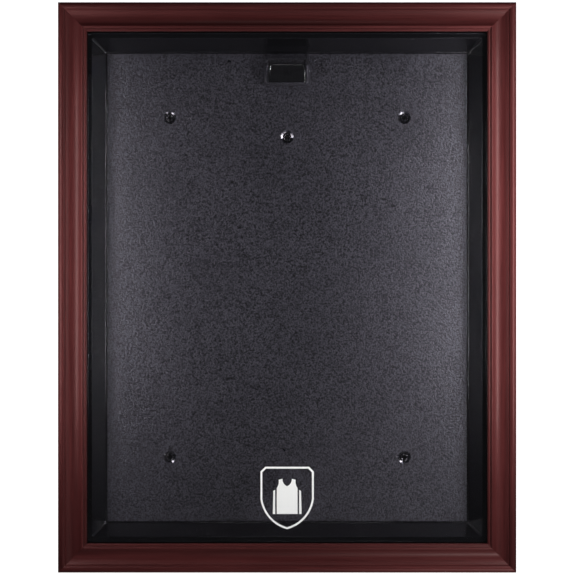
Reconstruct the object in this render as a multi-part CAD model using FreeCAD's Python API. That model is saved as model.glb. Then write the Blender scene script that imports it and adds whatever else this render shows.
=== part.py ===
import FreeCAD, Part
import math
import os

# Wall-hung display case for a folded or spread sports jersey.
#
# A moulded plastic tray hangs on the wall by screws through five recessed
# holes.  A mitred wooden door frame with a clear acrylic sheet closes the
# tray's front; it swings on four butt hinges along its left edge and is held
# shut by magnets along its right edge.
#
# Frame: +X to the right of someone facing the case, +Z up, -Y out of the
# wall towards that person.  The origin is on the wall plane, at the centre of
# the four-hole mounting pattern.  All sizes are in millimetres.

# Whole case
CASE_WIDTH = 857.2
CASE_HEIGHT = 1066.8
CASE_DEPTH = 76.2

# Wooden door moulding
MOULDING_WIDTH = 54.0
MOULDING_THICKNESS = 25.1
RABBET_WIDTH = 10.0
RABBET_DEPTH = 12.0

# Clear sheet and what holds it
SHEET_THICKNESS = 3.0
SHEET_CLEARANCE = 0.5
POINT_LENGTH = 16.0
POINT_WIDTH = 9.5
POINT_THICKNESS = 0.6
POINT_PITCH = 150.0

# Corner fasteners, driven in from behind across each mitre
V_NAIL_WING = 5.0
V_NAIL_THICKNESS = 0.6
V_NAIL_HEIGHT = 10.0

# Moulded tray
TRAY_INSET = 10.6
TRAY_DEPTH = 50.0
TRAY_WALL = 3.0
TRAY_CORNER_RADIUS = 6.0
LEDGE_HALF_WIDTH = 366.8
LEDGE_HALF_HEIGHT = 468.4
PANEL_HALF_WIDTH = 343.8
PANEL_HALF_HEIGHT = 446.1
PANEL_FRONT = 8.0
PANEL_THICKNESS = 3.0
CAVITY_CORNER_RADIUS = 4.0
CAVITY_FLOOR_RADIUS = 3.2
LEDGE_EDGE_RADIUS = 1.2
RIB_PITCH = 110.0
RIB_THICKNESS = 2.4
RIB_BACK = 1.0
GUSSET_FRONT = 28.0

# Raised bead around the ledge, which keeps dust out behind the moulding
BEAD_HALF_WIDTH = 374.4
BEAD_HALF_HEIGHT = 477.4
BEAD_WIDTH = 3.2
BEAD_HEIGHT = 3.0
BEAD_CORNER_RADIUS = 8.0

# Recessed wall-screw holes
HOLE_SPACING_X = 445.0
HOLE_SPACING_Z = 644.0
CENTRE_HOLE_Z = 285.0
HOLE_RADIUS = 2.5
HOLE_DISH_RADIUS = 12.2
HOLE_DISH_FLOOR_RADIUS = 7.7
HOLE_DISH_DEPTH = 2.6
HOLE_COLLAR_RADIUS = 5.8
HOLE_COLLAR_HALF_WIDTH = 1.5
HOLE_SEAT_RADIUS = 4.2
HOLE_SEAT_DEPTH = 3.6
BOSS_RADIUS = 15.0

# Small moulding marks in the back panel: x, z, radius
GATE_MARK_HIGH = (-109.8, 428.6, 3.0)
GATE_MARK_LOW = (-5.5, -308.2, 2.4)
GATE_MARK_DEPTH = 1.0

# Hook for the garment hanger, at the top centre of the panel
HOOK_TOP = 427.0
HOOK_BOTTOM = 383.0
HOOK_HALF_WIDTH = 44.0
HOOK_RISE = 18.0
HOOK_DRAFT = 5.0
HOOK_CORNER_RADIUS = 5.0
HOOK_RAMP_HALF_WIDTH = 39.0
HOOK_RAMP_RISE = 8.0
POCKET_HALF_WIDTH = 35.5
POCKET_FLOOR = 5.0
TONGUE_HALF_WIDTH = 34.8
TONGUE_THICKNESS = 4.0
TONGUE_SHOULDER = 8.0
TONGUE_PROUD = 3.0
TONGUE_RIM_RADIUS = 3.2
TONGUE_FOOT = 7.0
TONGUE_SCREW_X = 20.0
TONGUE_SCREW_LENGTH = 16.0
TONGUE_SCREW_SHANK_RADIUS = 1.25
TONGUE_SCREW_HEAD_RADIUS = 3.0
TONGUE_SCREW_HEAD_HEIGHT = 1.8
HOOK_CORE_HALF_WIDTH = 33.0
HOOK_CORE_WALL = 3.0

# Butt hinges, four along the left edge
HINGE_HEIGHTS = (-414.0, -138.0, 138.0, 414.0)
HINGE_LENGTH = 50.0
HINGE_LEAF_WIDTH = 26.0
HINGE_LEAF_THICKNESS = 1.2
HINGE_BARREL_RADIUS = 2.6
HINGE_PIN_RADIUS = 1.25
HINGE_PIN_CLEARANCE = 0.05
HINGE_KNUCKLES = 5
HINGE_KNUCKLE_GAP = 0.3
HINGE_AXIS_X = -421.5
HINGE_SCREW_SPACING = 30.0
HINGE_SCREW_X = -404.0

# Countersunk wood screws
SCREW_HEAD_RADIUS = 2.9
SCREW_SHANK_RADIUS = 1.5
SCREW_LENGTH = 12.0
BATTEN_SCREW_HEAD_RADIUS = 1.8
BATTEN_SCREW_SHANK_RADIUS = 1.1
BATTEN_SCREW_X = -370.3
BATTEN_SCREW_SPACING = 31.0

# Timber strip behind the hinge side of the tray's rim
BATTEN_THICKNESS = 17.0
BATTEN_HALF_LENGTH = 505.0
BATTEN_CLEARANCE = 0.3

# Magnetic catches and bumpers along the other edges
CATCH_HEIGHTS = (-400.0, 0.0, 400.0)
CATCH_X = 402.0
MAGNET_RADIUS = 6.0
MAGNET_THICKNESS = 5.0
STRIKE_RADIUS = 8.0
STRIKE_THICKNESS = 1.2
BUMPER_RADIUS = 4.0
BUMPER_THICKNESS = 1.0
BUMPER_SPACING = 400.0

# Printed badge on the outside of the clear sheet
BADGE_CENTRE_Z = -394.3
BADGE_HEIGHT = 117.0
BADGE_HALF_WIDTH = 50.0
BADGE_STROKE = 3.6
BADGE_THICKNESS = 0.15

# Places that follow from the sizes above
HALF_WIDTH = CASE_WIDTH / 2
HALF_HEIGHT = CASE_HEIGHT / 2
MOULDING_BACK = CASE_DEPTH - MOULDING_THICKNESS
SHEET_FRONT = MOULDING_BACK + RABBET_DEPTH
SHEET_BACK = SHEET_FRONT - SHEET_THICKNESS
RABBET_HALF_WIDTH = HALF_WIDTH - MOULDING_WIDTH + RABBET_WIDTH
RABBET_HALF_HEIGHT = HALF_HEIGHT - MOULDING_WIDTH + RABBET_WIDTH
TRAY_HALF_WIDTH = HALF_WIDTH - TRAY_INSET
TRAY_HALF_HEIGHT = HALF_HEIGHT - TRAY_INSET
HINGE_AXIS_DEPTH = (TRAY_DEPTH + MOULDING_BACK) / 2
HOOK_FRONT = PANEL_FRONT + HOOK_RISE

V = FreeCAD.Vector
UP = V(0, 0, 1)
OUT_OF_WALL = V(0, -1, 0)
INTO_WALL = V(0, 1, 0)


# ---------------------------------------------------------------- helpers

def block(x_low, x_high, depth_low, depth_high, z_low, z_high):
    """Box between two distances from the wall."""
    corner = V(x_low, -depth_high, z_low)
    return Part.makeBox(x_high - x_low, depth_high - depth_low, z_high - z_low, corner)


def centred_block(half_width, half_height, depth_low, depth_high):
    return block(-half_width, half_width, depth_low, depth_high, -half_height, half_height)


def rounded_block(half_width, half_height, depth_low, depth_high, radius):
    """Box with its four edges along Y rounded."""
    shape = centred_block(half_width, half_height, depth_low, depth_high)
    return shape.makeFillet(radius, [e for e in shape.Edges if runs_along(e, OUT_OF_WALL)])


def cylinder(radius, x, z, depth_low, depth_high):
    """Cylinder along Y between two distances from the wall."""
    return Part.makeCylinder(radius, depth_high - depth_low, V(x, -depth_low, z), OUT_OF_WALL)


def cone(radius_low, radius_high, x, z, depth_low, depth_high):
    height = depth_high - depth_low
    return Part.makeCone(radius_low, radius_high, height, V(x, -depth_low, z), OUT_OF_WALL)


def runs_along(edge, direction):
    if len(edge.Vertexes) != 2:
        return False
    run = edge.Vertexes[1].Point - edge.Vertexes[0].Point
    return run.Length > 0 and abs(abs(run.dot(direction)) / run.Length - 1) < 1e-6


def edges_at_depth(shape, depth):
    """Edges that lie wholly at one distance from the wall."""
    return [
        e for e in shape.Edges
        if abs(e.BoundBox.YMin + depth) < 1e-4 and abs(e.BoundBox.YMax + depth) < 1e-4
    ]


def flat_outline(points, depth_low, depth_high):
    """Prism along Y on an outline of (x, z) points."""
    corners = [V(x, -depth_low, z) for x, z in points]
    face = Part.Face(Part.makePolygon(corners + corners[:1]))
    return face.extrude(OUT_OF_WALL * (depth_high - depth_low))


def frustum(back_half_width, back_half_height, back, front_half_width, front_half_height, front):
    """Rectangular solid whose sides spread from one depth to another."""
    wires = []
    for half_width, half_height, depth in (
        (back_half_width, back_half_height, back),
        (front_half_width, front_half_height, front),
    ):
        corners = [
            V(-half_width, -depth, -half_height),
            V(half_width, -depth, -half_height),
            V(half_width, -depth, half_height),
            V(-half_width, -depth, half_height),
        ]
        wires.append(Part.makePolygon(corners + corners[:1]))
    return Part.makeLoft(wires, True, True)


def joined(shapes):
    """One shape from several that touch or overlap."""
    return shapes[0].multiFuse(shapes[1:]).removeSplitter() if len(shapes) > 1 else shapes[0]


def symmetric_run(half_length, pitch):
    """Evenly spaced places, symmetric about zero."""
    count = int(half_length // pitch)
    return [pitch * i for i in range(-count, count + 1)]


# ---------------------------------------------------------------- moulding

def moulding_profile():
    """Cross-section of the moulding, in the plane x = 0, outer edge at z = 0.

    From the outside in: a rounded outer bead, a quirk, a wide hollow cove,
    then two small beads that step down to the sight edge.
    """
    def at(inward, height):
        return V(0, -MOULDING_BACK - height, -inward)

    def arc(first, middle, last):
        return Part.Arc(at(*first), at(*middle), at(*last)).toShape()

    def line(first, last):
        return Part.LineSegment(at(*first), at(*last)).toShape()

    bead_top = (7.0, MOULDING_THICKNESS)
    quirk = (13.9, 20.4)
    cove_start = (15.3, 20.2)
    cove_end = (43.2, 20.4)
    step_start = (47.6, 18.5)
    step_end = (48.9, 17.6)
    sight_top = (53.2, 15.4)
    sight_edge = (MOULDING_WIDTH, 14.0)
    rabbet_start = MOULDING_WIDTH - RABBET_WIDTH
    edges = [
        line((0, 1.5), (0, 18.0)),
        arc((0, 18.0), (2.0, 23.1), bead_top),
        arc(bead_top, (11.4, 23.8), quirk),
        line(quirk, cove_start),
        arc(cove_start, (29.2, 14.9), cove_end),
        arc(cove_end, (45.6, 21.0), step_start),
        line(step_start, step_end),
        arc(step_end, (51.4, 17.9), sight_top),
        line(sight_top, sight_edge),
        line(sight_edge, (MOULDING_WIDTH, RABBET_DEPTH)),
        line((MOULDING_WIDTH, RABBET_DEPTH), (rabbet_start, RABBET_DEPTH)),
        line((rabbet_start, RABBET_DEPTH), (rabbet_start, 0)),
        line((rabbet_start, 0), (1.5, 0)),
        line((1.5, 0), (0, 1.5)),
    ]
    return Part.Face(Part.Wire(edges))


def mitred_length(length):
    """Moulding along X, outer edge at z = 0, both ends cut at 45 degrees."""
    profile = moulding_profile()
    profile.translate(V(-length / 2, 0, 0))
    bar = profile.extrude(V(length, 0, 0))
    inner = length / 2 - MOULDING_WIDTH
    outline = [(-length / 2, 0), (length / 2, 0), (inner, -MOULDING_WIDTH), (-inner, -MOULDING_WIDTH)]
    return bar.common(flat_outline(outline, MOULDING_BACK - 1, CASE_DEPTH + 1))


def door_rails():
    rails = {}
    for name, length, turn, offset in (
        ("top_rail", CASE_WIDTH, 0, V(0, 0, HALF_HEIGHT)),
        ("right_stile", CASE_HEIGHT, 90, V(HALF_WIDTH, 0, 0)),
        ("bottom_rail", CASE_WIDTH, 180, V(0, 0, -HALF_HEIGHT)),
        ("left_stile", CASE_HEIGHT, 270, V(-HALF_WIDTH, 0, 0)),
    ):
        rail = mitred_length(length)
        rail.rotate(V(0, 0, 0), INTO_WALL, turn)
        rail.translate(offset)
        rails[name] = rail
    return rails


def corner_v_nails():
    """Two V-shaped nails across each mitre, pointing along it."""
    nails = []
    for side in (-1, 1):
        for level in (-1, 1):
            for inward in (14.0, 32.0):
                x = side * (HALF_WIDTH - inward)
                z = level * (HALF_HEIGHT - inward)
                along_x = block(0, V_NAIL_WING, MOULDING_BACK, MOULDING_BACK + V_NAIL_HEIGHT,
                                -V_NAIL_THICKNESS / 2, V_NAIL_THICKNESS / 2)
                along_z = block(-V_NAIL_THICKNESS / 2, V_NAIL_THICKNESS / 2, MOULDING_BACK,
                                MOULDING_BACK + V_NAIL_HEIGHT, -V_NAIL_THICKNESS / 2, V_NAIL_WING)
                nail = joined([along_x, along_z])
                nail.rotate(V(0, 0, 0), INTO_WALL, {(1, 1): 0, (1, -1): 90, (-1, -1): 180, (-1, 1): 270}[side, level])
                nail.translate(V(x, 0, z))
                nails.append(nail)
    return nails


# ---------------------------------------------------------------- clear sheet

def acrylic_panel():
    half_width = RABBET_HALF_WIDTH - SHEET_CLEARANCE
    half_height = RABBET_HALF_HEIGHT - SHEET_CLEARANCE
    return centred_block(half_width, half_height, SHEET_BACK, SHEET_FRONT)


def framer_points():
    """Flat steel tabs driven into the rabbet wall behind the sheet."""
    inward = POINT_LENGTH / 2
    low = SHEET_BACK - POINT_THICKNESS
    points = []
    for z in symmetric_run(RABBET_HALF_HEIGHT - 40, POINT_PITCH):
        for side in (-1, 1):
            middle = side * RABBET_HALF_WIDTH
            points.append(block(middle - inward, middle + inward, low, SHEET_BACK,
                                z - POINT_WIDTH / 2, z + POINT_WIDTH / 2))
    for x in symmetric_run(RABBET_HALF_WIDTH - 40, POINT_PITCH):
        for level in (-1, 1):
            middle = level * RABBET_HALF_HEIGHT
            points.append(block(x - POINT_WIDTH / 2, x + POINT_WIDTH / 2, low, SHEET_BACK,
                                middle - inward, middle + inward))
    return points


def badge_outline():
    """Shield: flat top with clipped corners and sides that curve to a point."""
    top = BADGE_HEIGHT / 2
    side = BADGE_HALF_WIDTH
    clip = 9.0
    y = -SHEET_FRONT

    def line(first, last):
        return Part.LineSegment(V(first[0], y, first[1]), V(last[0], y, last[1])).toShape()

    def arc(first, middle, last):
        return Part.Arc(V(first[0], y, first[1]), V(middle[0], y, middle[1]), V(last[0], y, last[1])).toShape()

    edges = [
        line((-side + clip, top), (side - clip, top)),
        line((side - clip, top), (side, top - clip)),
        line((side, top - clip), (side, -2)),
        arc((side, -2), (0.70 * side, -0.62 * top), (0, -top)),
        arc((0, -top), (-0.70 * side, -0.62 * top), (-side, -2)),
        line((-side, -2), (-side, top - clip)),
        line((-side, top - clip), (-side + clip, top)),
    ]
    return Part.Wire(edges)


def badge_vest():
    """Plain sleeveless vest with one stripe down each side."""
    y = -SHEET_FRONT
    hem = -30.0
    neck_depth = 22.0
    shoulder = 36.0
    armpit = 13.0

    def at(x, z):
        return V(x, y, z)

    def line(first, last):
        return Part.LineSegment(first, last).toShape()

    def side(sign):
        neck = at(sign * 8.5, shoulder)
        tip = at(sign * 16.0, shoulder - 2)
        pit = at(sign * 26.0, armpit)
        corner = at(sign * 27.0, hem)
        return [
            Part.Arc(at(0, neck_depth), at(sign * 6.6, neck_depth + 5.5), neck).toShape(),
            line(neck, tip),
            Part.Arc(tip, at(sign * 18.0, armpit + 8), pit).toShape(),
            line(pit, corner),
            line(corner, at(0, hem)),
            line(at(0, hem), at(0, neck_depth)),
        ]

    halves = [Part.Face(Part.Wire(side(sign))) for sign in (-1, 1)]
    vest = joined([half.extrude(OUT_OF_WALL * BADGE_THICKNESS) for half in halves])
    stripes = [
        flat_outline([(sign * 19.5, hem - 1), (sign * 22.5, hem - 1), (sign * 22.5, shoulder), (sign * 19.5, shoulder)],
                     SHEET_FRONT - 1, SHEET_FRONT + 1)
        for sign in (-1, 1)
    ]
    return vest.cut(stripes).Solids


def emblem_print():
    outer = Part.Face(badge_outline())
    inner = outer.makeOffset2D(-BADGE_STROKE)
    rim = outer.cut(inner).extrude(OUT_OF_WALL * BADGE_THICKNESS)
    emblem = Part.makeCompound(rim.Solids + badge_vest())
    emblem.translate(V(0, 0, BADGE_CENTRE_Z))
    return emblem.Solids


# ---------------------------------------------------------------- hinges

def hinge_barrel(centre_z, first):
    """Every other knuckle of one hinge, starting from its lower end."""
    pitch = HINGE_LENGTH / HINGE_KNUCKLES
    rings = []
    for index in range(first, HINGE_KNUCKLES, 2):
        low = centre_z - HINGE_LENGTH / 2 + index * pitch + HINGE_KNUCKLE_GAP / 2
        base = V(HINGE_AXIS_X, -HINGE_AXIS_DEPTH, low)
        rings.append(Part.makeCylinder(HINGE_BARREL_RADIUS, pitch - HINGE_KNUCKLE_GAP, base, UP))
    return rings


def hinge_leaf(centre_z, face_depth, towards_wall, first, bore_radius):
    """Flat leaf with its knuckles, notched round the other leaf's knuckles."""
    other = 1 - first
    half = HINGE_LENGTH / 2
    far_depth = face_depth - HINGE_LEAF_THICKNESS if towards_wall else face_depth + HINGE_LEAF_THICKNESS
    plate = block(HINGE_AXIS_X, HINGE_AXIS_X + HINGE_LEAF_WIDTH, min(face_depth, far_depth),
                  max(face_depth, far_depth), centre_z - half, centre_z + half)
    notch = HINGE_BARREL_RADIUS + HINGE_KNUCKLE_GAP
    pitch = HINGE_LENGTH / HINGE_KNUCKLES
    notches = []
    for index in range(other, HINGE_KNUCKLES, 2):
        low = centre_z - half + index * pitch - HINGE_KNUCKLE_GAP / 2
        base = V(HINGE_AXIS_X, -HINGE_AXIS_DEPTH, low)
        notches.append(Part.makeCylinder(notch, pitch + HINGE_KNUCKLE_GAP, base, UP))
    leaf = joined([plate.cut(notches)] + hinge_barrel(centre_z, first))
    bore = Part.makeCylinder(bore_radius, HINGE_LENGTH + 2,
                             V(HINGE_AXIS_X, -HINGE_AXIS_DEPTH, centre_z - half - 1), UP)
    return leaf.cut(bore)


def hinge_pin(centre_z):
    base = V(HINGE_AXIS_X, -HINGE_AXIS_DEPTH, centre_z - HINGE_LENGTH / 2)
    return Part.makeCylinder(HINGE_PIN_RADIUS, HINGE_LENGTH, base, UP)


def countersunk_screw(x, z, face_depth, towards_wall, head_radius, shank_radius, length):
    """Flat-headed screw with a cross recess, head flush with a face."""
    sign = -1 if towards_wall else 1
    head_height = head_radius - shank_radius
    axis = V(0, -sign, 0)
    face = V(x, -face_depth, z)
    head = Part.makeCone(head_radius, shank_radius, head_height, face, axis)
    straight = length - 2 * shank_radius
    shank = Part.makeCylinder(shank_radius, straight, face, axis)
    tip = Part.makeCone(shank_radius, 0.2, 2 * shank_radius, face + axis * straight, axis)
    screw = joined([head, shank, tip])
    slot = 0.55 * head_radius
    width = 0.16 * head_radius
    depth = 0.6 * head_height
    low = face_depth - depth if towards_wall else face_depth - 1
    high = face_depth + 1 if towards_wall else face_depth + depth
    recess = joined([
        block(x - slot, x + slot, low, high, z - width, z + width),
        block(x - width, x + width, low, high, z - slot, z + slot),
    ])
    return screw.cut(recess)


def screw_hole(x, z, face_depth, towards_wall, head_radius, shank_radius, length):
    """The space that a countersunk screw fills, without its cross recess."""
    sign = -1 if towards_wall else 1
    axis = V(0, -sign, 0)
    face = V(x, -face_depth, z)
    straight = length - 2 * shank_radius
    return joined([
        Part.makeCone(head_radius, shank_radius, head_radius - shank_radius, face, axis),
        Part.makeCylinder(shank_radius, straight, face, axis),
        Part.makeCone(shank_radius, 0.2, 2 * shank_radius, face + axis * straight, axis),
    ])


def hinge_screw_places():
    half = HINGE_SCREW_SPACING / 2
    return [(HINGE_SCREW_X, z + step) for z in HINGE_HEIGHTS for step in (-half, half)]


def batten_screw_places():
    half = BATTEN_SCREW_SPACING / 2
    return [(BATTEN_SCREW_X, z + step) for z in HINGE_HEIGHTS for step in (-half, half)]


def strike_screw_places():
    return [(CATCH_X, z) for z in CATCH_HEIGHTS]


# ---------------------------------------------------------------- tray

def tray_cavity():
    """The space in front of the back panel, with rounded creases."""
    shape = frustum(PANEL_HALF_WIDTH, PANEL_HALF_HEIGHT, PANEL_FRONT,
                    LEDGE_HALF_WIDTH, LEDGE_HALF_HEIGHT, TRAY_DEPTH)
    corners = [
        e for e in shape.Edges
        if abs(e.Vertexes[0].Point.y - e.Vertexes[1].Point.y) > 1
    ]
    shape = shape.makeFillet(CAVITY_CORNER_RADIUS, corners)
    return shape.makeFillet(CAVITY_FLOOR_RADIUS, edges_at_depth(shape, PANEL_FRONT))


def tray_shell_core():
    """The cavity grown by the wall thickness, which the rear hollow goes round."""
    spread = (LEDGE_HALF_WIDTH - PANEL_HALF_WIDTH) / (TRAY_DEPTH - PANEL_FRONT)
    grow = TRAY_WALL * math.hypot(1, spread)
    back = PANEL_FRONT - PANEL_THICKNESS
    setback = (PANEL_FRONT - back) * spread
    return frustum(PANEL_HALF_WIDTH + grow - setback, PANEL_HALF_HEIGHT + grow - setback, back,
                   LEDGE_HALF_WIDTH + grow, LEDGE_HALF_HEIGHT + grow, TRAY_DEPTH)


def rear_ribs():
    """Stiffening ribs behind the panel and gussets across the hollow rim."""
    half = RIB_THICKNESS / 2
    upright = [
        block(x - half, x + half, RIB_BACK, GUSSET_FRONT, -TRAY_HALF_HEIGHT, TRAY_HALF_HEIGHT)
        for x in symmetric_run(PANEL_HALF_WIDTH, RIB_PITCH)
    ]
    level = [
        block(-TRAY_HALF_WIDTH, TRAY_HALF_WIDTH, RIB_BACK, GUSSET_FRONT, z - half, z + half)
        for z in symmetric_run(PANEL_HALF_HEIGHT, RIB_PITCH)
    ]
    return upright + level


def wall_hole_places():
    corners = [
        (side * HOLE_SPACING_X / 2, level * HOLE_SPACING_Z / 2)
        for side in (-1, 1) for level in (-1, 1)
    ]
    return corners + [(0, CENTRE_HOLE_Z)]


def wall_hole_recess(x, z):
    """Dished recess with a round collar on its floor, a sunk seat for the screw head, and the hole."""
    dish_floor = PANEL_FRONT - HOLE_DISH_DEPTH
    dish = cone(HOLE_DISH_FLOOR_RADIUS, HOLE_DISH_RADIUS, x, z, dish_floor, PANEL_FRONT)
    collar = Part.makeTorus(HOLE_COLLAR_RADIUS, HOLE_COLLAR_HALF_WIDTH, V(x, -dish_floor, z), OUT_OF_WALL)
    seat = cylinder(HOLE_SEAT_RADIUS, x, z, PANEL_FRONT - HOLE_SEAT_DEPTH, PANEL_FRONT)
    hole = cylinder(HOLE_RADIUS, x, z, -1, PANEL_FRONT)
    return joined([dish.cut(collar), seat, hole])


def hook_bracket():
    """Raised bracket with sloping sides, under a ramp from the panel's top edge."""
    body = Part.makeLoft([
        Part.makePolygon([V(x, -PANEL_FRONT + 1, z) for x, z in hook_corners(0)]),
        Part.makePolygon([V(x, -HOOK_FRONT, z) for x, z in hook_corners(HOOK_DRAFT)]),
    ], True, True)
    sloping = [e for e in body.Edges if abs(e.Vertexes[0].Point.y - e.Vertexes[1].Point.y) > 1]
    body = body.makeFillet(HOOK_CORNER_RADIUS, sloping)
    body = body.makeFillet(1.5, edges_at_depth(body, HOOK_FRONT))
    ramp_face = Part.Face(Part.makePolygon([
        V(-HOOK_RAMP_HALF_WIDTH, -PANEL_FRONT + 1, PANEL_HALF_HEIGHT),
        V(-HOOK_RAMP_HALF_WIDTH, -PANEL_FRONT, PANEL_HALF_HEIGHT),
        V(-HOOK_RAMP_HALF_WIDTH, -PANEL_FRONT - HOOK_RAMP_RISE, HOOK_TOP - 1),
        V(-HOOK_RAMP_HALF_WIDTH, -PANEL_FRONT - HOOK_RAMP_RISE, HOOK_TOP - HOOK_DRAFT - 3),
        V(-HOOK_RAMP_HALF_WIDTH, -PANEL_FRONT + 1, HOOK_TOP - HOOK_DRAFT - 3),
        V(-HOOK_RAMP_HALF_WIDTH, -PANEL_FRONT + 1, PANEL_HALF_HEIGHT),
    ]))
    ramp = ramp_face.extrude(V(2 * HOOK_RAMP_HALF_WIDTH, 0, 0))
    return joined([body, ramp])


def hook_corners(inset):
    x = HOOK_HALF_WIDTH - inset
    top = HOOK_TOP - inset
    bottom = HOOK_BOTTOM + 0.4 * inset
    return [(-x, bottom), (x, bottom), (x, top), (-x, top), (-x, bottom)]


def hook_pocket():
    """Pocket in the bracket, open at its front and top."""
    bottom = HOOK_BOTTOM + 4.0
    return block(-POCKET_HALF_WIDTH, POCKET_HALF_WIDTH, PANEL_FRONT + POCKET_FLOOR,
                 HOOK_FRONT + 5, bottom, PANEL_HALF_HEIGHT)


def hanger_tongue():
    """Smooth upturned tongue in the pocket; the hanger's hook drops behind it."""
    bottom = HOOK_BOTTOM + 4.0
    top = HOOK_TOP - 4.5
    width = TONGUE_HALF_WIDTH
    shoulder = TONGUE_SHOULDER
    front = HOOK_FRONT + TONGUE_PROUD
    outline = [
        (-width, bottom),
        (width, bottom),
        (width, top - 1.6 * shoulder),
        (width - 0.55 * shoulder, top),
        (-width + 0.55 * shoulder, top),
        (-width, top - 1.6 * shoulder),
    ]
    plate = flat_outline(outline, front - TONGUE_THICKNESS, front)
    upright = [e for e in plate.Edges if runs_along(e, OUT_OF_WALL) and e.CenterOfMass.z > bottom + 1]
    plate = plate.makeFillet(4.0, upright)
    rim = [e for e in edges_at_depth(plate, front) if e.CenterOfMass.z > bottom + 1]
    plate = plate.makeFillet(TONGUE_RIM_RADIUS, rim)
    foot = block(-width, width, PANEL_FRONT + POCKET_FLOOR, front - TONGUE_THICKNESS + 0.5,
                 bottom, bottom + TONGUE_FOOT)
    return joined([plate, foot])


def tongue_screw_places():
    return [(side * TONGUE_SCREW_X, HOOK_BOTTOM + 4.0 + TONGUE_FOOT / 2) for side in (-1, 1)]


def tongue_screws():
    """Round-headed screws driven from behind the panel into the tongue's foot."""
    back = PANEL_FRONT - PANEL_THICKNESS
    screws = []
    for x, z in tongue_screw_places():
        shank = cylinder(TONGUE_SCREW_SHANK_RADIUS, x, z, back, back + TONGUE_SCREW_LENGTH)
        head = cylinder(TONGUE_SCREW_HEAD_RADIUS, x, z, back - TONGUE_SCREW_HEAD_HEIGHT, back)
        head = head.makeFillet(1.2, edges_at_depth(head, back - TONGUE_SCREW_HEAD_HEIGHT))
        screws.append(joined([shank, head]))
    return screws


def hook_core():
    """Hollow behind the bracket, so that its walls are no thicker than the tray's."""
    bottom = HOOK_BOTTOM + 4.0 + TONGUE_FOOT + HOOK_CORE_WALL
    return block(-HOOK_CORE_HALF_WIDTH, HOOK_CORE_HALF_WIDTH, RIB_BACK,
                 PANEL_FRONT + POCKET_FLOOR - HOOK_CORE_WALL, bottom, HOOK_TOP - HOOK_DRAFT)


def ledge_bead():
    ring = rounded_block(BEAD_HALF_WIDTH + BEAD_WIDTH / 2, BEAD_HALF_HEIGHT + BEAD_WIDTH / 2,
                         TRAY_DEPTH - 1, TRAY_DEPTH + BEAD_HEIGHT, BEAD_CORNER_RADIUS + BEAD_WIDTH / 2)
    inside = rounded_block(BEAD_HALF_WIDTH - BEAD_WIDTH / 2, BEAD_HALF_HEIGHT - BEAD_WIDTH / 2,
                           TRAY_DEPTH - 2, TRAY_DEPTH + BEAD_HEIGHT + 1, BEAD_CORNER_RADIUS - BEAD_WIDTH / 2)
    ring = ring.cut(inside)
    return ring.makeFillet(0.48 * BEAD_WIDTH, edges_at_depth(ring, TRAY_DEPTH + BEAD_HEIGHT))


def magnet_collar(z):
    return cylinder(MAGNET_RADIUS + 2.5, CATCH_X, z, TRAY_DEPTH - MAGNET_THICKNESS - 1.5, TRAY_DEPTH - 1)


def backing_tray(cutters):
    outside = rounded_block(TRAY_HALF_WIDTH, TRAY_HALF_HEIGHT, 0, TRAY_DEPTH, TRAY_CORNER_RADIUS)
    outside = outside.makeFillet(1.5, edges_at_depth(outside, TRAY_DEPTH))
    hollow = rounded_block(TRAY_HALF_WIDTH - TRAY_WALL, TRAY_HALF_HEIGHT - TRAY_WALL,
                           -1, TRAY_DEPTH - TRAY_WALL, TRAY_CORNER_RADIUS - TRAY_WALL)
    bosses = [cylinder(BOSS_RADIUS, x, z, -2, PANEL_FRONT) for x, z in wall_hole_places()]
    collars = [magnet_collar(z) for z in CATCH_HEIGHTS]
    hollow = hollow.cut([tray_shell_core()] + rear_ribs() + bosses + collars)
    tray = outside.cut([hollow, tray_cavity()])
    tray = tray.makeFillet(LEDGE_EDGE_RADIUS, ledge_edges(tray))
    tray = tray.fuse([hook_bracket(), ledge_bead()])
    marks = [
        cylinder(radius, x, z, PANEL_FRONT - GATE_MARK_DEPTH, PANEL_FRONT + 1)
        for x, z, radius in (GATE_MARK_HIGH, GATE_MARK_LOW)
    ]
    recesses = [wall_hole_recess(x, z) for x, z in wall_hole_places()]
    return tray.cut([hook_pocket(), hook_core()] + marks + recesses + cutters)


def ledge_edges(tray):
    """The inner edge of the ledge, where the sloping walls begin."""
    return [
        e for e in edges_at_depth(tray, TRAY_DEPTH)
        if max(abs(e.CenterOfMass.x) / LEDGE_HALF_WIDTH, abs(e.CenterOfMass.z) / LEDGE_HALF_HEIGHT) < 1.001
    ]


def hinge_batten():
    """Timber strip in the hollow rim, bevelled to sit against the sloping wall."""
    spread = (LEDGE_HALF_WIDTH - PANEL_HALF_WIDTH) / (TRAY_DEPTH - PANEL_FRONT)
    grow = TRAY_WALL * math.hypot(1, spread) + BATTEN_CLEARANCE
    front = TRAY_DEPTH - TRAY_WALL
    back = front - BATTEN_THICKNESS
    outer = -TRAY_HALF_WIDTH + TRAY_WALL + BATTEN_CLEARANCE
    inner_front = -(LEDGE_HALF_WIDTH + grow - (TRAY_DEPTH - front) * spread)
    inner_back = -(LEDGE_HALF_WIDTH + grow - (TRAY_DEPTH - back) * spread)
    z = -BATTEN_HALF_LENGTH
    section = Part.Face(Part.makePolygon([
        V(outer, -front, z),
        V(inner_front, -front, z),
        V(inner_back, -back, z),
        V(outer, -back, z),
        V(outer, -front, z),
    ]))
    return section.extrude(UP * (2 * BATTEN_HALF_LENGTH))


# ---------------------------------------------------------------- catches

def catch_magnets():
    low = TRAY_DEPTH - MAGNET_THICKNESS
    return [cylinder(MAGNET_RADIUS, CATCH_X, z, low, TRAY_DEPTH) for z in CATCH_HEIGHTS]


def strike_plates():
    high = MOULDING_BACK + STRIKE_THICKNESS
    return [cylinder(STRIKE_RADIUS, CATCH_X, z, MOULDING_BACK, high) for z in CATCH_HEIGHTS]


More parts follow.
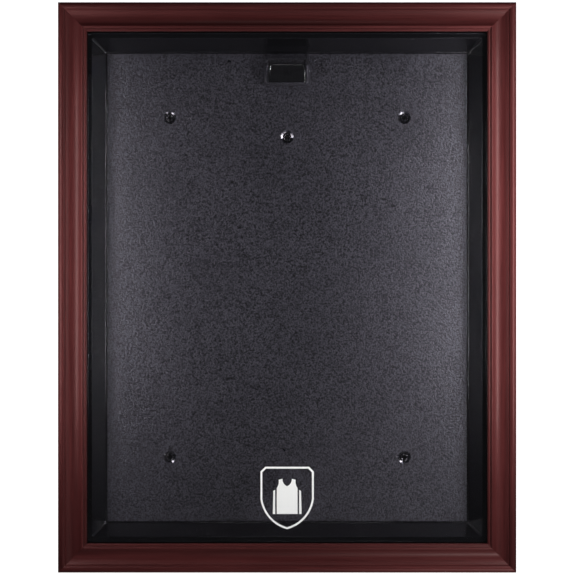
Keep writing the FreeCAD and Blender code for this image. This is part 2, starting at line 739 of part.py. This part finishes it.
def door_bumpers():
    half = BUMPER_SPACING / 2
    level = TRAY_HALF_HEIGHT - 18
    places = [(CATCH_X, -half), (CATCH_X, half)]
    places += [(side * half, sign * level) for side in (-1, 1) for sign in (-1, 1)]
    pads = []
    for x, z in places:
        pad = cylinder(BUMPER_RADIUS, x, z, TRAY_DEPTH, TRAY_DEPTH + BUMPER_THICKNESS)
        pads.append(pad.makeFillet(0.6, edges_at_depth(pad, TRAY_DEPTH + BUMPER_THICKNESS)))
    return pads


# ---------------------------------------------------------------- assembly

def knuckle_reliefs():
    """Room for the hinge barrels behind the moulding's outer edge."""
    radius = HINGE_BARREL_RADIUS + 0.4
    half = HINGE_LENGTH / 2 + 0.3
    reliefs = []
    for z in HINGE_HEIGHTS:
        base = V(HINGE_AXIS_X, -HINGE_AXIS_DEPTH, z - half)
        reliefs.append(Part.makeCylinder(radius, 2 * half, base, UP))
        reliefs.append(block(HINGE_AXIS_X - radius, HINGE_AXIS_X + radius, MOULDING_BACK - 1,
                             HINGE_AXIS_DEPTH, z - half, z + half))
    return reliefs


def leaf_recess(z, depth_low, depth_high):
    half = HINGE_LENGTH / 2 + 0.3
    return block(HINGE_AXIS_X, HINGE_AXIS_X + HINGE_LEAF_WIDTH + 0.2, depth_low, depth_high,
                 z - half, z + half)


def assemble():
    nodes = {}
    screw_sizes = (SCREW_HEAD_RADIUS, SCREW_SHANK_RADIUS, SCREW_LENGTH)
    batten_sizes = (BATTEN_SCREW_HEAD_RADIUS, BATTEN_SCREW_SHANK_RADIUS, SCREW_LENGTH)

    door_holes = [screw_hole(x, z, MOULDING_BACK, False, *screw_sizes) for x, z in hinge_screw_places()]
    tray_holes = [screw_hole(x, z, TRAY_DEPTH, True, *screw_sizes) for x, z in hinge_screw_places()]
    batten_holes = [screw_hole(x, z, TRAY_DEPTH, True, *batten_sizes) for x, z in batten_screw_places()]
    strike_holes = [screw_hole(x, z, MOULDING_BACK, False, *screw_sizes) for x, z in strike_screw_places()]

    points = framer_points()
    v_nails = corner_v_nails()
    strikes = strike_plates()
    magnets = catch_magnets()
    door_recesses = [leaf_recess(z, MOULDING_BACK - 1, MOULDING_BACK + HINGE_LEAF_THICKNESS)
                     for z in HINGE_HEIGHTS]
    tray_recesses = [leaf_recess(z, TRAY_DEPTH - HINGE_LEAF_THICKNESS, TRAY_DEPTH + 1)
                     for z in HINGE_HEIGHTS]

    extra = {
        "left_stile": door_recesses + knuckle_reliefs() + door_holes,
        "right_stile": strikes + strike_holes,
    }
    for name, rail in door_rails().items():
        nodes[name] = rail.cut(points + v_nails + extra.get(name, []))
    nodes["corner_v_nails"] = v_nails
    nodes["acrylic_panel"] = acrylic_panel()
    nodes["framer_points"] = points
    nodes["emblem_print"] = emblem_print()

    for number, z in enumerate(HINGE_HEIGHTS, start=1):
        door_leaf = hinge_leaf(z, MOULDING_BACK, False, 1, HINGE_PIN_RADIUS + HINGE_PIN_CLEARANCE)
        tray_leaf = hinge_leaf(z, TRAY_DEPTH, True, 0, HINGE_PIN_RADIUS)
        nodes["hinge_%d_door_leaf" % number] = door_leaf.cut(door_holes)
        nodes["hinge_%d_tray_leaf" % number] = tray_leaf.cut(tray_holes)
        nodes["hinge_%d_pin" % number] = hinge_pin(z)

    nodes["door_leaf_screws"] = [countersunk_screw(x, z, MOULDING_BACK, False, *screw_sizes)
                                 for x, z in hinge_screw_places()]
    nodes["tray_leaf_screws"] = [countersunk_screw(x, z, TRAY_DEPTH, True, *screw_sizes)
                                 for x, z in hinge_screw_places()]
    nodes["batten_screws"] = [countersunk_screw(x, z, TRAY_DEPTH, True, *batten_sizes)
                              for x, z in batten_screw_places()]
    nodes["hinge_batten"] = hinge_batten().cut(tray_holes + batten_holes)
    nodes["backing_tray"] = backing_tray(tray_recesses + tray_holes + batten_holes + magnets + tongue_screws())
    nodes["hanger_tongue"] = hanger_tongue().cut(tongue_screws())
    nodes["tongue_screws"] = tongue_screws()

    nodes["catch_magnets"] = magnets
    nodes["strike_plates"] = [strikes[i].cut(strike_holes) for i in range(len(strikes))]
    nodes["strike_screws"] = [countersunk_screw(x, z, MOULDING_BACK, False, *screw_sizes)
                              for x, z in strike_screw_places()]
    nodes["door_bumpers"] = door_bumpers()
    return nodes


def main():
    os.makedirs("parts", exist_ok=True)
    for name, shape in assemble().items():
        solids = shape if isinstance(shape, list) else shape.Solids
        solid = solids[0] if len(solids) == 1 else Part.makeCompound(solids)
        solid.exportStep("parts/%s.step" % name)
        print("%-22s %2d solid(s) %10.1f mm3 valid %s" % (name, len(solids), solid.Volume, solid.isValid()))


main()
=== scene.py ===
import math

import bpy
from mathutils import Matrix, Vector


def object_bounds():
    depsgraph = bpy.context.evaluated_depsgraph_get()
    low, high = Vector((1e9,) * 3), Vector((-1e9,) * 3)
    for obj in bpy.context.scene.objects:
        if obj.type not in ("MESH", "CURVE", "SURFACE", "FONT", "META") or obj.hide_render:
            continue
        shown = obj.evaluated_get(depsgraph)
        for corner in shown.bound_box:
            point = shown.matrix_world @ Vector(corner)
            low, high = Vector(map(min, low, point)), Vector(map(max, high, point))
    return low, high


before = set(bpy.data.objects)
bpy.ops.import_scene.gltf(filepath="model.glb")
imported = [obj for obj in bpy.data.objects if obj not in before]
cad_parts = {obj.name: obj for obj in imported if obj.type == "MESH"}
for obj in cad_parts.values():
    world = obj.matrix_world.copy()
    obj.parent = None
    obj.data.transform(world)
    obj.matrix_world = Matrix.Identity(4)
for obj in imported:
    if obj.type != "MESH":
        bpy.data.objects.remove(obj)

CAD_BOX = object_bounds()

# ------------------------------------------------------------------ sizes

LOW, HIGH = CAD_BOX
CENTRE = (LOW + HIGH) / 2
FRONT = LOW.y

# The grained area of the tray: its flat back panel, up to just short of the crease.
PANEL_HALF_WIDTH = 0.3438
PANEL_HALF_HEIGHT = 0.4461
CREASE_NEAR, CREASE_FAR = 0.0018, 0.0038
GRAIN_DEEPEST, GRAIN_HIGHEST = -0.0078, -0.0060

# Screw holes through the back panel, each in a smooth dish.
SCREW_HOLES = [(side * 0.2225, level * 0.322) for side in (-1, 1) for level in (-1, 1)] + [(0.0, 0.285)]
DISH_RADIUS = 0.0124
DISH_EDGE = 0.0005

# Camera: a long lens straight in front of the case, aimed a hair off its centre.
CAMERA_DISTANCE = 4.25
CAMERA_SHIFT = (0.0015, -0.0010)
SENSOR = 36.0
FRAME_SHARE_HIGH = 0.9920

# Stage: a floor that curves up into a backdrop, and dark discs behind the screw holes as painted shade
# seen through them.
SWEEP_HALF_WIDTH = 9.0
SWEEP_FLOOR = -1.6
SWEEP_NEAR, SWEEP_FAR = -8.0, 7.0
SWEEP_TOP = 8.0
SWEEP_BEND = 1.5
SWEEP_STEPS = 24
SHADE_DISC_RADIUS = 0.0042
SHADE_DISC_DEPTH = 0.004
SHADE_DISC_Y = 0.0045


# ------------------------------------------------------------------ nodes

class Nodes:
    """Short forms for building one material's node tree."""

    def __init__(self, name):
        self.material = bpy.data.materials.new(name)
        self.material.use_nodes = True
        self.tree = self.material.node_tree
        self.tree.nodes.clear()
        self.output = self.tree.nodes.new("ShaderNodeOutputMaterial")
        self.place = None

    def new(self, kind, **settings):
        node = self.tree.nodes.new(kind)
        for key, value in settings.items():
            setattr(node, key, value)
        return node

    def link(self, source, target):
        self.tree.links.new(source, target)

    def put(self, socket, value):
        """Sets a socket's value, or links it to another socket."""
        if isinstance(value, bpy.types.NodeSocket):
            self.link(value, socket)
        else:
            socket.default_value = value

    def position(self):
        if self.place is None:
            self.place = self.new("ShaderNodeTexCoord").outputs["Object"]
        return self.place

    def scaled(self, scale, offset=(0, 0, 0)):
        node = self.new("ShaderNodeMapping")
        self.link(self.position(), node.inputs["Vector"])
        node.inputs["Scale"].default_value = scale
        node.inputs["Location"].default_value = offset
        return node.outputs["Vector"]

    def even(self, offset=(0, 0, 0)):
        """The object's own coordinates, in metres, stretched by nothing."""
        return self.scaled((1.0, 1.0, 1.0), offset)

    def noise(self, vector, scale=1.0, detail=3.0, roughness=0.5, distortion=0.0):
        node = self.new("ShaderNodeTexNoise")
        self.link(vector, node.inputs["Vector"])
        node.inputs["Scale"].default_value = scale
        node.inputs["Detail"].default_value = detail
        node.inputs["Roughness"].default_value = roughness
        node.inputs["Distortion"].default_value = distortion
        return node.outputs["Fac"]

    def math(self, operation, *values):
        node = self.new("ShaderNodeMath", operation=operation)
        for socket, value in zip(node.inputs, values):
            self.put(socket, value)
        return node.outputs[0]

    def span(self, value, low, high, to_low=0.0, to_high=1.0, kind="SMOOTHSTEP"):
        """Maps one range to another, clamped; smoothly unless told otherwise."""
        node = self.new("ShaderNodeMapRange", interpolation_type=kind)
        self.put(node.inputs["Value"], value)
        numbers = {"From Min": low, "From Max": high, "To Min": to_low, "To Max": to_high}
        for key, number in numbers.items():
            node.inputs[key].default_value = number
        return node.outputs["Result"]

    def ramp(self, value, *stops):
        node = self.new("ShaderNodeValToRGB")
        self.put(node.inputs["Fac"], value)
        elements = node.color_ramp.elements
        while len(elements) < len(stops):
            elements.new(0.5)
        for element, (where, colour) in zip(elements, stops):
            element.position = where
            element.color = (*colour, 1)
        return node.outputs["Color"]

    def mix(self, share, first, second, blend="MIX"):
        node = self.new("ShaderNodeMix", data_type="RGBA", blend_type=blend)
        self.put(node.inputs["Factor"], share)
        for key, value in (("A", first), ("B", second)):
            socket = next(s for s in node.inputs if s.name == key and s.type == "RGBA")
            self.put(socket, value if isinstance(value, bpy.types.NodeSocket) else (*value, 1))
        return next(s for s in node.outputs if s.type == "RGBA")

    def vector(self, operation, first, second=None):
        """A vector calculation, such as a difference or a length."""
        node = self.new("ShaderNodeVectorMath", operation=operation)
        self.put(node.inputs[0], first)
        if second is not None:
            self.put(node.inputs[1], second)
        return node.outputs["Value" if operation == "LENGTH" else "Vector"]

    def bump(self, height, strength, distance, normal=None):
        node = self.new("ShaderNodeBump")
        self.put(node.inputs["Height"], height)
        self.put(node.inputs["Strength"], strength)
        node.inputs["Distance"].default_value = distance
        if normal is not None:
            self.link(normal, node.inputs["Normal"])
        return node.outputs["Normal"]

    def principled(self, **inputs):
        node = self.new("ShaderNodeBsdfPrincipled")
        for key, value in inputs.items():
            name = key.replace("_", " ")
            if isinstance(value, tuple) and len(value) == 3:
                value = (*value, 1)
            self.put(node.inputs[name], value)
        self.link(node.outputs[0], self.output.inputs["Surface"])
        return node


# ------------------------------------------------------------------ materials

def mahogany(name, along):
    """Dark red-brown stained wood under satin lacquer, with grain along one axis."""
    n = Nodes(name)
    fine = [420.0, 420.0, 420.0]
    fine[along] = 9.0
    wide = [46.0, 46.0, 46.0]
    wide[along] = 1.6
    pore = [900.0, 900.0, 900.0]
    pore[along] = 42.0
    fibres = n.noise(n.scaled(fine), 1.0, 4.0, 0.6, 0.25)
    bands = n.noise(n.scaled(wide, (3.1, 1.7, 5.3)), 1.0, 4.0, 0.55, 1.1)
    pores = n.noise(n.scaled(pore, (7.7, 2.9, 4.1)), 1.0, 2.0, 0.5)
    patches = n.noise(n.scaled((5.0, 5.0, 5.0)), 1.0, 2.0, 0.5)
    stain = n.ramp(bands,
                   (0.28, (0.031, 0.0061, 0.0063)),
                   (0.50, (0.043, 0.0085, 0.0087)),
                   (0.74, (0.059, 0.0124, 0.0125)))
    streaks = n.ramp(fibres, (0.32, (0.60, 0.56, 0.56)), (0.62, (1.0, 1.0, 1.0)))
    colour = n.mix(0.55, stain, streaks, "MULTIPLY")
    pits = n.span(pores, 0.30, 0.40, 0.55, 1.0)
    shade = n.ramp(pits, (0.0, (0.35, 0.32, 0.32)), (1.0, (1.0, 1.0, 1.0)))
    colour = n.mix(1.0, colour, shade, "MULTIPLY")
    tone = n.ramp(patches, (0.35, (0.88, 0.86, 0.86)), (0.65, (1.06, 1.05, 1.05)))
    colour = n.mix(0.8, colour, tone, "MULTIPLY")
    rough = n.math("ADD", n.span(fibres, 0.3, 0.7, 0.40, 0.48),
                   n.span(patches, 0.3, 0.7, -0.02, 0.03))
    normal = n.bump(pits, 0.35, 0.00004)
    normal = n.bump(fibres, 0.25, 0.00006, normal)
    n.principled(Base_Color=colour, Roughness=rough, Normal=normal, IOR=1.26,
                 Specular_Tint=(1.0, 0.58, 0.56),
                 Coat_Weight=0.03, Coat_Roughness=0.20, Coat_IOR=1.4)
    return n.material


def dishes(n):
    """Where the smooth dishes round the screw holes are."""
    flat = n.vector("MULTIPLY", n.position(), (1.0, 0.0, 1.0))
    within = 0.0
    for x, z in SCREW_HOLES:
        radius = n.vector("LENGTH", n.vector("SUBTRACT", (x, 0.0, z), flat))
        dish = n.span(radius, DISH_RADIUS - DISH_EDGE, DISH_RADIUS, 1.0, 0.0)
        within = n.math("ADD", within, dish)
    return within


def moulded_black(name):
    """Black moulded plastic, smooth on the walls, leather-grained on the back panel, with painted shade
    in the grain's hollows and painted sheen on its raised pebbles.
    """
    n = Nodes(name)
    separate = n.new("ShaderNodeSeparateXYZ")
    n.link(n.position(), separate.inputs[0])
    across = n.math("ABSOLUTE", separate.outputs["X"])
    level = n.math("ABSOLUTE", separate.outputs["Z"])
    inside_x = n.span(across, PANEL_HALF_WIDTH - CREASE_FAR, PANEL_HALF_WIDTH - CREASE_NEAR, 1.0, 0.0)
    inside_z = n.span(level, PANEL_HALF_HEIGHT - CREASE_FAR, PANEL_HALF_HEIGHT - CREASE_NEAR, 1.0, 0.0)
    front = n.span(separate.outputs["Y"], GRAIN_DEEPEST, GRAIN_HIGHEST, 1.0, 0.0)
    grained = n.math("MULTIPLY", n.math("MULTIPLY", inside_x, inside_z), front)
    pebble = n.noise(n.even(), 340.0, 2.0, 0.6, 0.1)
    grain = n.span(pebble, 0.36, 0.64, 0.0, 1.0, "LINEAR")
    fine = n.noise(n.even(), 2600.0, 2.0, 0.5)
    cloud = n.noise(n.even((0.4, 0.8, 0.1)), 7.0, 3.0, 0.5)
    flow = n.noise(n.scaled((2.2, 2.2, 0.7)), 4.0, 2.0, 0.5, 0.4)
    colour = n.ramp(cloud,
                    (0.3, (0.0050, 0.0047, 0.0062)),
                    (0.7, (0.0068, 0.0064, 0.0082)))
    # painted shade and sheen: the grain's hollows are coloured darker and its raised pebbles lighter
    # than the plastic itself
    painted_grain_shade_and_sheen = n.ramp(grain, (0.0, (0.1, 0.1, 0.1)), (1.0, (6.9, 6.9, 7.0)))
    wall = n.mix(1.0, colour, (0.6, 0.6, 0.6), "MULTIPLY")
    colour = n.mix(grained, wall, n.mix(1.0, colour, painted_grain_shade_and_sheen, "MULTIPLY"))
    grained = n.math("MULTIPLY", grained, n.math("SUBTRACT", 1.0, dishes(n)))
    smooth_rough = n.math("ADD", n.span(flow, 0.3, 0.7, 0.11, 0.15),
                          n.span(fine, 0.2, 0.8, -0.01, 0.01))
    grain_rough = n.span(grain, 0.0, 1.0, 0.29, 0.42, "LINEAR")
    rough = n.new("ShaderNodeMix", data_type="FLOAT")
    n.put(rough.inputs["Factor"], grained)
    n.put(rough.inputs["A"], smooth_rough)
    n.put(rough.inputs["B"], grain_rough)
    normal = n.bump(n.math("MULTIPLY", grain, grained), 0.9, 0.00034)
    normal = n.bump(fine, 0.12, 0.00003, normal)
    n.principled(Base_Color=colour, Roughness=rough.outputs[0], Normal=normal, IOR=1.60,
                 Specular_Tint=(0.93, 0.90, 1.0))
    return n.material


def smooth_black(name):
    """Smooth black plastic with faint flow marks."""
    n = Nodes(name)
    flow = n.noise(n.scaled((30.0, 30.0, 90.0)), 1.0, 3.0, 0.55, 0.6)
    fine = n.noise(n.even(), 2400.0, 2.0, 0.5)
    colour = n.ramp(flow, (0.3, (0.0035, 0.0035, 0.0042)), (0.7, (0.0050, 0.0050, 0.0058)))
    rough = n.span(flow, 0.3, 0.7, 0.08, 0.12)
    normal = n.bump(fine, 0.10, 0.00002)
    n.principled(Base_Color=colour, Roughness=rough, Normal=normal, IOR=1.53)
    return n.material


def clear_acrylic(name):
    """Polished clear sheet: see-through, with a mirror's share that grows at a slant."""
    n = Nodes(name)
    smear = n.noise(n.even(), 6.0, 4.0, 0.6, 0.8)
    rough = n.span(smear, 0.35, 0.75, 0.012, 0.05)
    slant = n.new("ShaderNodeLayerWeight")
    slant.inputs["Blend"].default_value = 0.5
    glare = n.math("POWER", slant.outputs["Facing"], 5.0)
    share = n.math("MULTIPLY_ADD", glare, 0.96, 0.04)
    clear = n.new("ShaderNodeBsdfTransparent")
    clear.inputs["Color"].default_value = (0.990, 0.990, 0.992, 1)
    mirror = n.new("ShaderNodeBsdfGlossy")
    mirror.inputs["Color"].default_value = (1, 1, 1, 1)
    n.put(mirror.inputs["Roughness"], rough)
    mix = n.new("ShaderNodeMixShader")
    n.link(share, mix.inputs[0])
    n.link(clear.outputs[0], mix.inputs[1])
    n.link(mirror.outputs[0], mix.inputs[2])
    n.link(mix.outputs[0], n.output.inputs["Surface"])
    return n.material


def white_ink(name):
    """Screen-printed white ink, slightly uneven."""
    n = Nodes(name)
    mottle = n.noise(n.even(), 900.0, 4.0, 0.6)
    colour = n.ramp(mottle, (0.3, (0.86, 0.86, 0.85)), (0.7, (0.93, 0.93, 0.92)))
    rough = n.span(mottle, 0.3, 0.7, 0.42, 0.55)
    normal = n.bump(mottle, 0.15, 0.00003)
    n.principled(Base_Color=colour, Roughness=rough, Normal=normal)
    return n.material


def metal(name, dark, light, rough, along=2, stretch=14.0):
    """Plated metal with fine drawn lines and a little tarnish."""
    n = Nodes(name)
    lines = [1500.0, 1500.0, 1500.0]
    lines[along] = 1500.0 / stretch
    drawn = n.noise(n.scaled(lines), 1.0, 3.0, 0.6)
    tarnish = n.noise(n.even(), 120.0, 4.0, 0.6, 0.4)
    colour = n.mix(n.span(tarnish, 0.35, 0.7), light, dark)
    roughness = n.math("ADD", n.span(drawn, 0.3, 0.7, rough, rough + 0.10),
                       n.span(tarnish, 0.4, 0.7, 0.0, 0.12))
    normal = n.bump(drawn, 0.2, 0.00002)
    n.principled(Base_Color=colour, Metallic=1.0, Roughness=roughness, Normal=normal)
    return n.material


def softwood(name):
    """Planed pine with growth rings along the strip."""
    n = Nodes(name)
    rings = n.noise(n.scaled((70.0, 70.0, 2.5)), 1.0, 4.0, 0.6, 1.2)
    fibres = n.noise(n.scaled((600.0, 600.0, 18.0)), 1.0, 3.0, 0.6)
    colour = n.ramp(rings,
                    (0.30, (0.55, 0.36, 0.19)),
                    (0.55, (0.62, 0.43, 0.24)),
                    (0.72, (0.40, 0.22, 0.10)))
    shade = n.ramp(fibres, (0.3, (0.6, 0.55, 0.5)), (0.7, (1.0, 1.0, 1.0)))
    colour = n.mix(0.35, colour, shade, "MULTIPLY")
    rough = n.span(fibres, 0.3, 0.7, 0.55, 0.75)
    normal = n.bump(fibres, 0.4, 0.0001)
    n.principled(Base_Color=colour, Roughness=rough, Normal=normal)
    return n.material


def rubber(name):
    """Soft grey-black bumper with a dusty bloom."""
    n = Nodes(name)
    bloom = n.noise(n.even(), 700.0, 3.0, 0.6)
    colour = n.ramp(bloom, (0.3, (0.018, 0.018, 0.019)), (0.7, (0.035, 0.035, 0.036)))
    normal = n.bump(bloom, 0.3, 0.00005)
    rough = n.span(bloom, 0.3, 0.7, 0.6, 0.8)
    n.principled(Base_Color=colour, Roughness=rough, Normal=normal)
    return n.material


def dress():
    """Gives every CAD node its material."""
    level_wood = mahogany("mahogany_level", 0)
    upright_wood = mahogany("mahogany_upright", 2)
    brass = metal("brass_plate", (0.42, 0.27, 0.09), (0.72, 0.52, 0.22), 0.24)
    zinc = metal("zinc_steel", (0.40, 0.41, 0.42), (0.62, 0.63, 0.64), 0.30)
    blacked = metal("black_screw", (0.010, 0.010, 0.010), (0.022, 0.022, 0.022), 0.38)
    nickel = metal("nickel", (0.50, 0.48, 0.44), (0.70, 0.68, 0.64), 0.16)
    finishes = {
        "top_rail": level_wood,
        "bottom_rail": level_wood,
        "left_stile": upright_wood,
        "right_stile": upright_wood,
        "backing_tray": moulded_black("black_moulding"),
        "hanger_tongue": smooth_black("smooth_black"),
        "acrylic_panel": clear_acrylic("clear_acrylic"),
        "emblem_print": white_ink("white_ink"),
        "hinge_batten": softwood("pine"),
        "batten_screws": blacked,
        "catch_magnets": nickel,
        "door_bumpers": rubber("bumper_rubber"),
        "door_leaf_screws": brass,
        "tray_leaf_screws": brass,
    }
    for name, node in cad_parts.items():
        if name in finishes:
            finish = finishes[name]
        elif name.startswith("hinge_"):
            finish = brass
        else:
            finish = zinc
        node.data.materials.clear()
        node.data.materials.append(finish)


# ------------------------------------------------------------------ studio

def plain(name, colour, glow):
    """Matt pale paint, shown pale to the eye while it throws little light forward."""
    n = Nodes(name)
    separate = n.new("ShaderNodeSeparateXYZ")
    n.link(n.position(), separate.inputs[0])
    far_glow = n.span(separate.outputs["Y"], 1.5, 5.5, 0.02, glow)
    near_look = n.span(separate.outputs["Y"], -6.0, 4.0, 0.62, glow)
    path = n.new("ShaderNodeLightPath")
    seen = n.math("MULTIPLY", path.outputs["Is Camera Ray"], near_look)
    far_glow = n.math("MAXIMUM", far_glow, seen)
    mottle = n.noise(n.even(), 1.5, 2.0, 0.5)
    shade = n.ramp(mottle, (0.3, tuple(c * 0.985 for c in colour)), (0.7, colour))
    n.principled(Base_Color=shade, Roughness=0.9,
                 Emission_Color=(1.0, 1.0, 1.0), Emission_Strength=far_glow)
    return n.material


def sweep(name, material):
    """Pale floor that curves up into a pale backdrop, well behind the case."""
    bend_y = SWEEP_FAR - SWEEP_BEND
    bend_z = SWEEP_FLOOR + SWEEP_BEND
    outline = [(SWEEP_NEAR, SWEEP_FLOOR), (bend_y, SWEEP_FLOOR)]
    for i in range(1, SWEEP_STEPS + 1):
        turn = math.pi / 2 * i / SWEEP_STEPS
        outline.append((bend_y + SWEEP_BEND * math.sin(turn), bend_z - SWEEP_BEND * math.cos(turn)))
    outline.append((SWEEP_FAR, SWEEP_TOP))
    vertices = [(side * SWEEP_HALF_WIDTH, y, z) for y, z in outline for side in (-1, 1)]
    faces = [(2 * i, 2 * i + 1, 2 * i + 3, 2 * i + 2) for i in range(len(outline) - 1)]
    mesh = bpy.data.meshes.new(name)
    mesh.from_pydata(vertices, [], faces)
    mesh.materials.append(material)
    for face in mesh.polygons:
        face.use_smooth = True
    obj = bpy.data.objects.new(name, mesh)
    bpy.context.scene.collection.objects.link(obj)
    return obj


def softbox(name, place, target, width, height, power, spread=180.0, only=None):
    """A flat light aimed at a target; it can be limited to one piece."""
    light = bpy.data.lights.new(name, "AREA")
    light.spread = math.radians(spread)
    light.shape = "RECTANGLE"
    light.size = width
    light.size_y = height
    light.energy = power
    obj = bpy.data.objects.new(name, light)
    obj.location = place
    obj.rotation_euler = (Vector(target) - Vector(place)).to_track_quat("-Z", "Y").to_euler()
    bpy.context.scene.collection.objects.link(obj)
    if only is not None:
        lit = bpy.data.collections.new(f"{name}_lights")
        lit.objects.link(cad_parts[only])
        obj.light_linking.receiver_collection = lit
    return obj


def hole_shade_discs():
    """Dark discs behind the five screw holes: painted shade seen through the holes."""
    finish = rubber("painted_hole_shade")
    for index, (x, z) in enumerate(SCREW_HOLES):
        bpy.ops.mesh.primitive_cylinder_add(vertices=32, radius=SHADE_DISC_RADIUS, depth=SHADE_DISC_DEPTH,
                                            location=(x, SHADE_DISC_Y, z),
                                            rotation=(math.radians(90), 0, 0))
        shade_disc = bpy.context.object
        shade_disc.name = f"painted_hole_shade_{index + 1}"
        shade_disc.data.materials.append(finish)


def studio():
    """Two upright strip lights, a light from above, one from below and the pale surroundings."""
    sweep("floor_and_backdrop", plain("pale_sweep", (0.86, 0.86, 0.86), 1.0))
    softbox("softbox_left", (-0.59, -0.37, 0.07), (-0.24, 0, 0.07), 0.12, 0.66, 4.9)
    softbox("softbox_right", (0.59, -0.37, 0.10), (0.24, 0, 0.09), 0.12, 0.76, 8.0)
    softbox("softbox_top", (0.05, -0.85, 1.22), (0, 0, 0.43), 0.6, 0.2, 1.6)
    for name, side in (("spot_left", -1), ("spot_right", 1)):
        softbox(name, (side * 0.75, -0.60, 0.80), (0, -0.03, 0.41), 0.08, 0.08, 0.6, 60.0,
                only="hanger_tongue")
    softbox("low_fill", (0.8, -1.2, -1.2), (0.4, 0, -0.4), 0.8, 0.4, 7.0)
    softbox("rail_fill", (0.55, -1.0, -0.95), (0.3, 0, -0.51), 0.5, 0.2, 7.0, only="bottom_rail")
    world = bpy.data.worlds.new("studio")
    bpy.context.scene.world = world
    world.use_nodes = True
    tree = world.node_tree
    background = tree.nodes["Background"]
    background.inputs["Color"].default_value = (1, 1, 1, 1)
    path = tree.nodes.new("ShaderNodeLightPath")
    level = tree.nodes.new("ShaderNodeMapRange")
    level.inputs["To Min"].default_value = 0.02
    level.inputs["To Max"].default_value = 0.95
    tree.links.new(path.outputs["Is Camera Ray"], level.inputs["Value"])
    tree.links.new(level.outputs["Result"], background.inputs["Strength"])


def camera():
    """Straight in front, far enough back that the case fills the frame's height."""
    data = bpy.data.cameras.new("camera")
    data.sensor_width = SENSOR
    data.lens = SENSOR * FRAME_SHARE_HIGH * CAMERA_DISTANCE / (HIGH.z - LOW.z)
    data.shift_x, data.shift_y = CAMERA_SHIFT
    data.clip_start = 0.1
    data.clip_end = 60.0
    obj = bpy.data.objects.new("camera", data)
    obj.location = (CENTRE.x, FRONT - CAMERA_DISTANCE, CENTRE.z)
    obj.rotation_euler = (math.radians(90), 0, 0)
    bpy.context.scene.collection.objects.link(obj)
    bpy.context.scene.camera = obj


dress()
# dark discs behind the screw holes: painted shade
hole_shade_discs()
studio()
camera()
bpy.context.scene.view_settings.view_transform = "Standard"
bpy.context.scene.view_settings.look = "None"
